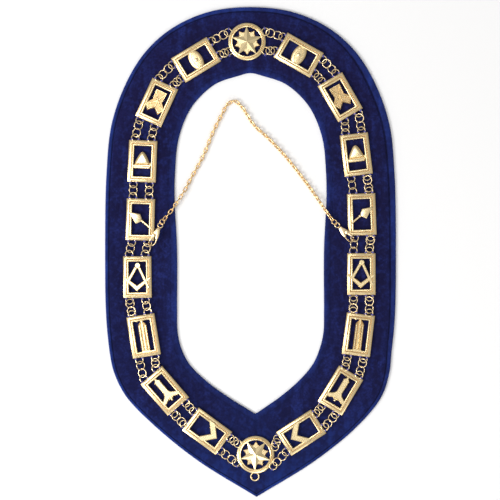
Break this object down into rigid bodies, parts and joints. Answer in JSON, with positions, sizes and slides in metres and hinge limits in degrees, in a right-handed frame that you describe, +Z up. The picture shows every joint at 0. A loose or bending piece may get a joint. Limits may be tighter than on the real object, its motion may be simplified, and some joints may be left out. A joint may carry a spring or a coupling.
{
  "type": "chain of office",
  "caption": "Gilt star medallions and openwork emblem panels joined by jump rings on a flat V-shaped velvet collar, with a clasped safety chain across the neck opening.",
  "frame": {"origin": "on the table, under the middle of the collar's bounding box", "axes": "+X to the right as the collar is seen from above, +Y from the lower tip towards the back of the neck, +Z up from the table"},
  "size_m": [0.291, 0.49, 0.0092],
  "materials": {
    "gold": "polished pale gilt",
    "velvet": "navy velvet pile"
  },
  "bodies": {
    "collar": {"velvet_collar": "velvet", "top_medallion": "gold", "bottom_medallion": "gold", "eye_panel_left": "gold", "tablet_panel_left": "gold", "beehive_panel_left": "gold", "trowel_panel_left": "gold", "square_and_compasses_panel_left": "gold", "column_panel_left": "gold", "level_panel_left": "gold", "square_panel_left": "gold", "outer_rings_left_1": "gold", "inner_ring_left_1": "gold", "outer_rings_left_2": "gold", "inner_ring_left_2": "gold", "outer_rings_left_3": "gold", "inner_ring_left_3": "gold", "outer_rings_left_4": "gold", "inner_ring_left_4": "gold", "outer_rings_left_5": "gold", "inner_ring_left_5": "gold", "outer_rings_left_6": "gold", "inner_ring_left_6": "gold", "outer_rings_left_7": "gold", "inner_ring_left_7": "gold", "outer_rings_left_8": "gold", "inner_ring_left_8": "gold", "outer_rings_left_9": "gold", "inner_ring_left_9": "gold", "left_clasp": "gold", "eye_panel_right": "gold", "tablet_panel_right": "gold", "beehive_panel_right": "gold", "trowel_panel_right": "gold", "square_and_compasses_panel_right": "gold", "column_panel_right": "gold", "level_panel_right": "gold", "square_panel_right": "gold", "outer_rings_right_1": "gold", "inner_ring_right_1": "gold", "outer_rings_right_2": "gold", "inner_ring_right_2": "gold", "outer_rings_right_3": "gold", "inner_ring_right_3": "gold", "outer_rings_right_4": "gold", "inner_ring_right_4": "gold", "outer_rings_right_5": "gold", "inner_ring_right_5": "gold", "outer_rings_right_6": "gold", "inner_ring_right_6": "gold", "outer_rings_right_7": "gold", "inner_ring_right_7": "gold", "outer_rings_right_8": "gold", "inner_ring_right_8": "gold", "outer_rings_right_9": "gold", "inner_ring_right_9": "gold", "right_clasp": "gold", "safety_chain": "gold"},
    "left_lever": {"left_clasp_lever": "gold"},
    "right_lever": {"right_clasp_lever": "gold"}
  },
  "joints": [
    {"name": "left_lever_hinge", "type": "hinge", "parent": "collar", "child": "left_lever", "pos_m": [-0.09668, 0.01662, 0.00791], "axis": [0.0303, 0.0629, 0.9976], "range_deg": [0, 24], "stiffness_Nm_per_rad": 0.003, "springref_deg": -17.19},
    {"name": "right_lever_hinge", "type": "hinge", "parent": "collar", "child": "right_lever", "pos_m": [0.09604, 0.01942, 0.00791], "axis": [0.0485, -0.0502, -0.9976], "range_deg": [0, 24], "stiffness_Nm_per_rad": 0.003, "springref_deg": -17.19}
  ]
}
